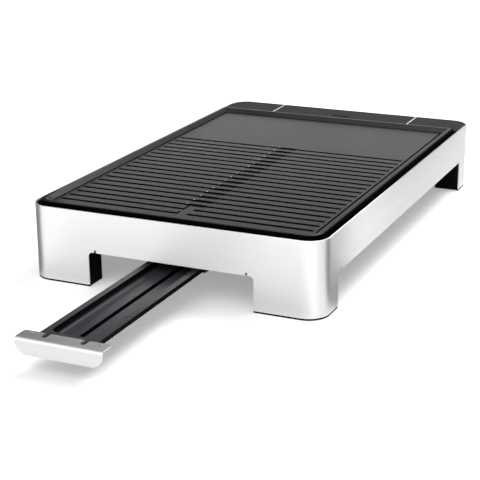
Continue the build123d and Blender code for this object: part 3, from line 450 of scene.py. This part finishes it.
def unit_square(shape):
    """A square face with sides of 1 m, to be scaled."""
    return bmesh.ops.create_grid(shape, x_segments=1, y_segments=1, size=0.5)["verts"]


def flat_stadium(shape, length, width, segments=16):
    """A flat disc pulled out into a stadium along X."""
    bmesh.ops.create_circle(shape, cap_ends=True, segments=segments, radius=width / 2)
    reach = (length - width) / 2
    right = [vert for vert in shape.verts if vert.co.x > ON_AXIS]
    left = [vert for vert in shape.verts if vert.co.x < -ON_AXIS]
    bmesh.ops.translate(shape, vec=(reach, 0.0, 0.0), verts=right)
    bmesh.ops.translate(shape, vec=(-reach, 0.0, 0.0), verts=left)


def push_faces(shape, faces, offset):
    """Extrude faces by an offset."""
    grown = bmesh.ops.extrude_face_region(shape, geom=faces)["geom"]
    bmesh.ops.translate(shape, vec=offset, verts=only_verts(grown))


def thicken(shape, height):
    """Raise every face of a flat shape into a slab."""
    push_faces(shape, shape.faces[:], (0.0, 0.0, height))


def low_dot(shape, radius, height, segments):
    """A low round dot with its upper rim rounded off."""
    bmesh.ops.create_circle(shape, cap_ends=True, segments=segments, radius=radius)
    thicken(shape, height)
    rim = [edge for edge in shape.edges if all(vert.co.z > height / 2 for vert in edge.verts)]
    bmesh.ops.bevel(shape, geom=rim, offset=height / 2, affect="EDGES", segments=2, profile=0.5,
                    material=-1)


# %% [markdown]
# ## Painted shade and painted highlights at the drain slots
# Each slot is cut through after the plate is cast, and shade falls into it. Two near-black strips beside
# the groove are painted shade that stands in for that shade, and a bright spot at the left end of the
# far strip is a painted highlight, the glint where light catches the slot's end. Both could be painted
# on the plate with a mask, but then no mesh would show them. So the shade is a stadium, inset to a
# ring, cut free of the groove with a plane, and mirrored to the other side.

# %% Drain slot edges
PLATE_FLOOR = 84.0 * mm
SLOT_FIRST_Y = -209.0 * mm
SLOT_PITCH = 16.0 * mm
SLOT_COUNT = 17
SLOT_SHADE_LENGTH = 26.6 * mm
SLOT_SHADE_WIDTH = 8.6 * mm
SLOT_SHADE_WALL = 1.75 * mm
GROOVE_HALF = 2.65 * mm
SHADE_HEIGHT = 0.06 * mm
GLINT_RADIUS = 0.95 * mm
GLINT_HEIGHT = 0.12 * mm
slot_places = [Vector((0.0, SLOT_FIRST_Y + i * SLOT_PITCH, PLATE_FLOOR)) for i in range(SLOT_COUNT)]

# Painted shade: a near-black finish that stands in for the shade in the slots, the screw recesses and the
# rivet holes.
painted_shade_finish = make_moulding(
    "painted recess shade", (0.003, 0.003, 0.003), (0.006, 0.006, 0.006), 0.60, 0.75, 2400.0, 0.25,
    specular=0.12)
# Painted highlight: a bright finish that stands in for the glint where light catches each slot's end.
painted_glint_finish = make_metal(
    "painted glint", (0.86, 0.86, 0.86), (0.95, 0.95, 0.95), 0.45, 0.55, 0.10,
    (900.0, 900.0, 900.0), (90.0, 90.0, 90.0))


def build_slot_shade():
    """Two strips of painted shade beside the groove at each drain slot."""
    shape = bmesh.new()
    flat_stadium(shape, SLOT_SHADE_LENGTH, SLOT_SHADE_WIDTH, segments=24)
    bmesh.ops.inset_individual(shape, faces=shape.faces[:], thickness=SLOT_SHADE_WALL, use_even_offset=True)
    middle = [face for face in shape.faces if len(face.verts) > 4]
    bmesh.ops.delete(shape, geom=middle, context="FACES_ONLY")
    bmesh.ops.bisect_plane(shape, geom=[*shape.verts, *shape.edges, *shape.faces],
                           plane_co=(0.0, GROOVE_HALF, 0.0), plane_no=(0.0, 1.0, 0.0), clear_inner=True)
    thicken(shape, SHADE_HEIGHT)
    copy_part(shape, shape.verts[:], MIRROR_Y)
    repeat_part(shape, slot_places)
    finish_piece("drain_slot_shade", shape, painted_shade_finish, "plate")


def build_slot_glints():
    """A low dot of painted highlight at the left end of each slot's far edge."""
    shape = bmesh.new()
    low_dot(shape, GLINT_RADIUS, GLINT_HEIGHT, segments=12)
    offset = Vector((-SLOT_SHADE_LENGTH / 2 + SLOT_SHADE_WALL, GROOVE_HALF + GLINT_RADIUS, 0.0))
    repeat_part(shape, [place + offset for place in slot_places])
    finish_piece("drain_slot_glints", shape, painted_glint_finish, "plate")


build_slot_shade()
build_slot_glints()

# %% [markdown]
# ## The cross in each screw head
# Pressed screw heads carry a cross-shaped recess, which lies in shade and shows from below as a dark
# cross. The recess is not cut here: a flat cross of near-black painted shade stands in for it. A grid of
# nine faces without its corners is a cross already. The heads are found in the CAD mesh itself: each
# loose piece of it is one screw, and the lowest points of that piece are its head.

# %% Screw crosses
CROSS_SIZE = 3.6 * mm
CROSS_HEIGHT = 0.05 * mm
MERGE_DISTANCE = 0.001 * mm
LEVEL_TOLERANCE = 0.01 * mm


def find_heads(node_name, side=-1.0):
    """The middle of the lowest face of each loose piece in a node, or of the highest with a side of 1."""
    shape = bmesh.new()
    shape.from_mesh(nodes[node_name].data)
    bmesh.ops.remove_doubles(shape, verts=shape.verts, dist=MERGE_DISTANCE)
    waiting = set(shape.verts)
    heads = []
    while waiting:
        island = [waiting.pop()]
        for vert in island:
            near = {edge.other_vert(vert) for edge in vert.link_edges} & waiting
            waiting -= near
            island.extend(near)
        level = max(side * vert.co.z for vert in island)
        ring = [vert.co.copy() for vert in island if side * vert.co.z > level - LEVEL_TOLERANCE]
        # A set has no fixed order, so the points are sorted before they are added up.
        heads.append(sum(sorted(ring, key=tuple), Vector()) / len(ring))
    shape.free()
    return sorted(heads, key=lambda head: tuple(round(value, 5) for value in head))


def build_crosses(name, node_name):
    """A cross of painted shade on the underside of every screw head of a node."""
    shape = bmesh.new()
    bmesh.ops.create_grid(shape, x_segments=3, y_segments=3, size=CROSS_SIZE / 2)
    corners = [face for face in shape.faces
               if min(abs(value) for value in face.calc_center_median().xy) > CROSS_SIZE / 6]
    bmesh.ops.delete(shape, geom=corners, context="FACES")
    thicken(shape, -CROSS_HEIGHT)
    repeat_part(shape, find_heads(node_name))
    finish_piece(name, shape, painted_shade_finish, "housing")


build_crosses("housing_screw_crosses", "housing_screws")
build_crosses("cover_screw_crosses", "cover_screws")

# %% [markdown]
# ## The eyes of the two rivets
# A blind rivet leaves a small hole in the middle of its head, where its pin broke off, and shade makes
# it look dark. A real hole would need a new rivet head. At this size a low dot of near-black painted
# shade with a rounded rim looks the same.

# %% Rivet eyes
EYE_RADIUS = 1.1 * mm
EYE_HEIGHT = 0.04 * mm


def build_eyes():
    """A spot of painted shade in the middle of each rivet of the drawer's handle."""
    shape = bmesh.new()
    low_dot(shape, EYE_RADIUS, EYE_HEIGHT, segments=16)
    repeat_part(shape, find_heads("tray_rivets", side=1.0))
    finish_piece("rivet_eyes", shape, painted_shade_finish, "drawer")


build_eyes()

# %% [markdown]
# ## Knob pointers and dial marks
# A white line is pressed into the groove on each knob's face, and turns with it. Round the knob the
# steel is printed with marks that grow with the heat, and a small ring for off. An image could hold
# the print. Thin flat shapes need no image and stay sharp from close by.

# %% Knob pointers and dials
KNOB_X = 96.0 * mm
KNOB_Z = 60.0 * mm
KNOB_FACE_Y = 292.8 * mm
BAND_BACK_Y = 275.0 * mm
POINTER_LENGTH = 12.0 * mm
POINTER_WIDTH = 1.3 * mm
POINTER_SINK = 0.55 * mm
POINTER_HEIGHT = 0.45 * mm
POINTER_START = 1.0 * mm
MARK_COUNT = 10
MARK_START = math.radians(30.0)
MARK_TURN = math.radians(270.0)
MARK_INNER = 18.2 * mm
MARK_SHORT = 0.6 * mm
MARK_LONG = 1.7 * mm
MARK_WIDTH = 0.7 * mm
OFF_RING_WALL = 0.35 * mm
PRINT_HEIGHT = 0.04 * mm

print_ink = make_moulding(
    "dark print", (0.03, 0.03, 0.032), (0.05, 0.05, 0.052), 0.45, 0.6, 2000.0, 0.05)


def build_pointer(name, x, body):
    """A white line in the groove of a knob, from its middle to its edge."""
    shape = bmesh.new()
    flat_stadium(shape, POINTER_LENGTH, POINTER_WIDTH)
    thicken(shape, POINTER_HEIGHT)
    upright = Matrix.Rotation(QUARTER, 4, "Z") @ Matrix.Rotation(QUARTER, 4, "Y")
    bmesh.ops.transform(shape, matrix=upright, verts=shape.verts)
    place = Vector((x, KNOB_FACE_Y - POINTER_SINK, KNOB_Z + POINTER_START + POINTER_LENGTH / 2))
    bmesh.ops.translate(shape, vec=place, verts=shape.verts)
    finish_piece(name, shape, white_insert, body)


def build_dial(name, x):
    """Printed marks round a knob, clockwise as seen from the control end."""
    shape = bmesh.new()
    for i in range(MARK_COUNT):
        share = i / (MARK_COUNT - 1)
        angle = MARK_START + share * (MARK_TURN - MARK_START)
        length = MARK_SHORT + share * (MARK_LONG - MARK_SHORT)
        mark = unit_square(shape)
        bmesh.ops.scale(shape, vec=(MARK_WIDTH, length, 1.0), verts=mark)
        bmesh.ops.translate(shape, vec=(0.0, MARK_INNER + length / 2, 0.0), verts=mark)
        bmesh.ops.rotate(shape, matrix=Matrix.Rotation(-angle, 3, "Z"), verts=mark)
    off = bmesh.ops.create_circle(shape, cap_ends=True, segments=20, radius=MARK_LONG / 2)["verts"]
    bmesh.ops.translate(shape, vec=(0.0, MARK_INNER + MARK_LONG / 2, 0.0), verts=off)
    disc = [face for face in shape.faces if len(face.verts) > 4]
    bmesh.ops.inset_individual(shape, faces=disc, thickness=OFF_RING_WALL)
    bmesh.ops.delete(shape, geom=disc, context="FACES_ONLY")
    thicken(shape, PRINT_HEIGHT)
    to_back = Matrix.Rotation(math.pi, 4, "Z") @ Matrix.Rotation(QUARTER, 4, "X")
    bmesh.ops.transform(shape, matrix=to_back, verts=shape.verts)
    bmesh.ops.translate(shape, vec=(x, BAND_BACK_Y, KNOB_Z), verts=shape.verts)
    finish_piece(name, shape, print_ink, "housing")


build_pointer("knob_pointer_left", -KNOB_X, "left_knob")
build_pointer("knob_pointer_right", KNOB_X, "right_knob")
build_dial("dial_marks_left", -KNOB_X)
build_dial("dial_marks_right", KNOB_X)

# %% [markdown]
# ## The black soles under the steel
# Each moulded foot ends in a thin sole that comes out under the edge of the steel, so the sheet never
# touches the table. It shows as a dark line under the corners. A sweep along a path would do, but a
# spin needs no path: a small upright face is spun round the corner, and its two ends are then pushed
# out along the legs. Mirrored copies make the other three corners.

# %% Foot soles
BAND_HALF_X = 170.0 * mm
BAND_HALF_Y = 275.0 * mm
CORNER_RADIUS = 23.0 * mm
SOLE_LEG_X = 51.0 * mm
SOLE_LEG_Y = 23.5 * mm
SOLE_WALL = 3.0 * mm
SOLE_LOW = 0.1 * mm
SOLE_TOP = 1.9 * mm
SOLE_INSET = 0.1 * mm
SOLE_STEPS = 12


def build_soles():
    """A thin rounded strip under the steel at each of the four corners."""
    shape = bmesh.new()
    place = (CORNER_RADIUS - SOLE_INSET - SOLE_WALL / 2, 0.0, (SOLE_TOP + SOLE_LOW) / 2)
    unit_square(shape)
    bmesh.ops.rotate(shape, matrix=Matrix.Rotation(QUARTER, 3, "X"), verts=shape.verts)
    bmesh.ops.scale(shape, vec=(SOLE_WALL, 1.0, SOLE_TOP - SOLE_LOW), verts=shape.verts)
    bmesh.ops.translate(shape, vec=place, verts=shape.verts)
    start = shape.faces[:]
    spun = bmesh.ops.spin(shape, geom=[*shape.verts, *shape.edges, *start], cent=(0.0, 0.0, 0.0),
                          axis=(0.0, 0.0, 1.0), angle=QUARTER, steps=SOLE_STEPS, use_merge=False)
    end = [item for item in spun["geom_last"] if isinstance(item, bmesh.types.BMFace)]
    for faces, push in ((start, (0.0, -SOLE_LEG_Y, 0.0)), (end, (-SOLE_LEG_X, 0.0, 0.0))):
        push_faces(shape, faces, push)
        bmesh.ops.delete(shape, geom=[face for face in faces if face.is_valid], context="FACES_ONLY")
    bmesh.ops.recalc_face_normals(shape, faces=shape.faces)
    corner = Vector((BAND_HALF_X - CORNER_RADIUS, BAND_HALF_Y - CORNER_RADIUS, 0.0))
    bmesh.ops.translate(shape, vec=corner, verts=shape.verts)
    copy_part(shape, shape.verts[:], MIRROR_X)
    copy_part(shape, shape.verts[:], MIRROR_Y)
    finish_piece("foot_soles", shape, foot_moulding, "housing")


build_soles()

# %% [markdown]
# ## The light
# The photograph is a packshot: a white sweep, very soft light from all round, and only a faint
# shadow under the grill. Lamps alone would need many to be as soft, so a pale dome does most of the
# work. It is bright low down and dim half-way up, so that the plate stays dark and only its far end
# mirrors the horizon. Two large lamps give the faces their small differences.

# %% World
HORIZON_LIGHT = 1.0
MIDDLE_LIGHT = 0.05
ZENITH_LIGHT = 0.7
FRONT_LIGHT = 1.25
LOW_STEP = (0.235, 0.325)
HIGH_STEP = (0.70, 0.95)
FRONT_STEP = (-0.1, -0.6)


def build_world():
    """A pale dome: bright low down, overhead and in front, dim between, pure white to the camera."""
    world = bpy.data.worlds.new("studio")
    bpy.context.scene.world = world
    world.use_nodes = True
    tree = world.node_tree
    direction = add_node(tree, "ShaderNodeTexCoord").outputs["Generated"]
    sides = add_node(tree, "ShaderNodeSeparateXYZ", {0: direction}).outputs
    low = map_range(tree, sides["Z"], LOW_STEP, (HORIZON_LIGHT, MIDDLE_LIGHT), "SMOOTHSTEP")
    high = map_range(tree, sides["Z"], HIGH_STEP, (0.0, ZENITH_LIGHT - MIDDLE_LIGHT), "SMOOTHSTEP")
    ahead = map_range(tree, sides["Y"], FRONT_STEP, (0.0, FRONT_LIGHT), "SMOOTHSTEP")
    dome = add_math(tree, "ADD", add_math(tree, "ADD", low, high), ahead)
    seen = add_node(tree, "ShaderNodeLightPath").outputs["Is Camera Ray"]
    level = add_node(tree, "ShaderNodeMix", {"Factor": seen, "A": dome, "B": 1.0}).outputs["Result"]
    background = tree.nodes["Background"]
    background.inputs["Color"].default_value = (1.0, 1.0, 1.0, 1.0)
    tree.links.new(level, background.inputs["Strength"])


build_world()
print("world made")


# %% Lamps
def add_lamp(name, place, target, size, power):
    """A large square lamp that points at a target."""
    lamp = bpy.data.objects.new(name, bpy.data.lights.new(name, "AREA"))
    bpy.context.scene.collection.objects.link(lamp)
    lamp.data.size = size
    lamp.data.energy = power
    lamp.location = place
    lamp.rotation_euler = (Vector(target) - Vector(place)).to_track_quat("-Z", "Y").to_euler()
    print(name, "at", place, "with", power, "W")


add_lamp("overhead soft box", (0.7, 1.1, 2.3), (0.0, -0.1, 0.0), size=1.5, power=60.0)
add_lamp("front soft box", (0.2, -2.6, 2.4), (0.0, -0.2, 0.05), size=1.6, power=10.0)

# %% [markdown]
# ## The sweep
# The grill stands on a seamless white sweep. More light would turn a floor white, but would burn out
# the steel as well. So a wide floor glows a little to the camera alone: it reads as white, and it
# still takes the soft shadow under the grill.

# %% Floor
FLOOR_COLOUR = 0.80
FLOOR_GLOW = 0.30
FLOOR_HALF = 3.2


def build_floor():
    """A wide floor that shows white to the camera and still keeps the shadow."""
    material, tree, shader = new_material("white sweep")
    shader.inputs["Base Color"].default_value = (FLOOR_COLOUR, FLOOR_COLOUR, FLOOR_COLOUR, 1.0)
    shader.inputs["Roughness"].default_value = 0.9
    shader.inputs["Specular IOR Level"].default_value = 0.0
    seen = add_node(tree, "ShaderNodeLightPath").outputs["Is Camera Ray"]
    shader.inputs["Emission Color"].default_value = (1.0, 1.0, 1.0, 1.0)
    tree.links.new(add_math(tree, "MULTIPLY", seen, FLOOR_GLOW), shader.inputs["Emission Strength"])
    shape = bmesh.new()
    bmesh.ops.create_grid(shape, x_segments=1, y_segments=1, size=FLOOR_HALF)
    floor = make_object("floor", shape, material)


build_floor()
print("floor made")

# %% [markdown]
# ## Dark cards for the reflections
# Bare steel only looks like steel when it has something dark to mirror. The finish could be made
# darker at the bends, but then it would stay dark from every side. Photographers stand black cards
# beside the object, just outside the picture. Four upright cards do the same here, and three lie on
# the floor beside the front corners and before the front. They show in reflections alone, so they
# give the soft dark bands at the bends and the darker foot of the steel, and throw no shadow.

# %% Cards
CARD_REACH = 0.060
CARD_TOP = 0.30
CARD_BLACK = 0.02
CARD_GREY = 0.30
RIGHT_CARD_Y = (-0.235, -0.105)
LEFT_CARD_Y = (-0.300, -0.120)
FAR_CARD_Y = (0.12, 0.60)
REAR_CARD_X = (0.122, 0.165)
REAR_CARD_Y = 0.45
RIGHT_FLOOR_CARD_Y = (-0.225, -0.125)
FLOOR_CARD_GREY = 0.06
FLOOR_CARD_REACH = 0.085
FLOOR_CARD_HEIGHT = 0.0005
CARD_GAP = 0.004


def add_card(name, colour, low, high):
    """A flat card between two corners, one of its three sizes 0, seen only in reflections."""
    size = Vector(high) - Vector(low)
    shape = bmesh.new()
    unit_square(shape)
    if not size.x:
        bmesh.ops.rotate(shape, matrix=Matrix.Rotation(QUARTER, 3, "Y"), verts=shape.verts)
    elif not size.y:
        bmesh.ops.rotate(shape, matrix=Matrix.Rotation(QUARTER, 3, "X"), verts=shape.verts)
    bmesh.ops.scale(shape, vec=size, verts=shape.verts)
    bmesh.ops.translate(shape, vec=(Vector(low) + Vector(high)) / 2, verts=shape.verts)
    material, _, shader = new_material(name)
    shader.inputs["Base Color"].default_value = (colour, colour, colour, 1.0)
    shader.inputs["Roughness"].default_value = 1.0
    card = make_object(name, shape, material)
    card.visible_camera = False
    card.visible_diffuse = False
    card.visible_shadow = False
    card.visible_transmission = False


band_low, band_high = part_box("steel_band")
left_x, right_x = band_low[0] - CARD_REACH, band_high[0] + CARD_REACH
far_x = right_x + CARD_REACH
left_near, right_near = band_low[0] - CARD_GAP, band_high[0] + CARD_GAP
add_card("right card", CARD_BLACK, (right_x, RIGHT_CARD_Y[0], 0.0), (right_x, RIGHT_CARD_Y[1], CARD_TOP))
add_card("left card", CARD_BLACK, (left_x, LEFT_CARD_Y[0], 0.0), (left_x, LEFT_CARD_Y[1], CARD_TOP))
add_card("far right card", CARD_GREY, (far_x, FAR_CARD_Y[0], 0.0), (far_x, FAR_CARD_Y[1], CARD_TOP))
add_card("rear right card", CARD_BLACK, (REAR_CARD_X[0], REAR_CARD_Y, 0.0),
         (REAR_CARD_X[1], REAR_CARD_Y, CARD_TOP))
add_card("right floor card", CARD_BLACK, (right_near, RIGHT_FLOOR_CARD_Y[0], FLOOR_CARD_HEIGHT),
         (right_x, RIGHT_FLOOR_CARD_Y[1], FLOOR_CARD_HEIGHT))
add_card("left floor card", CARD_BLACK, (left_x, LEFT_CARD_Y[0], FLOOR_CARD_HEIGHT),
         (left_near, LEFT_CARD_Y[1], FLOOR_CARD_HEIGHT))
add_card("floor card", FLOOR_CARD_GREY, (band_low[0], band_low[1] - FLOOR_CARD_REACH, FLOOR_CARD_HEIGHT),
         (band_high[0], band_low[1] - CARD_GAP, FLOOR_CARD_HEIGHT))
print("cards beside x", round(band_low[0], 3), "and", round(band_high[0], 3))
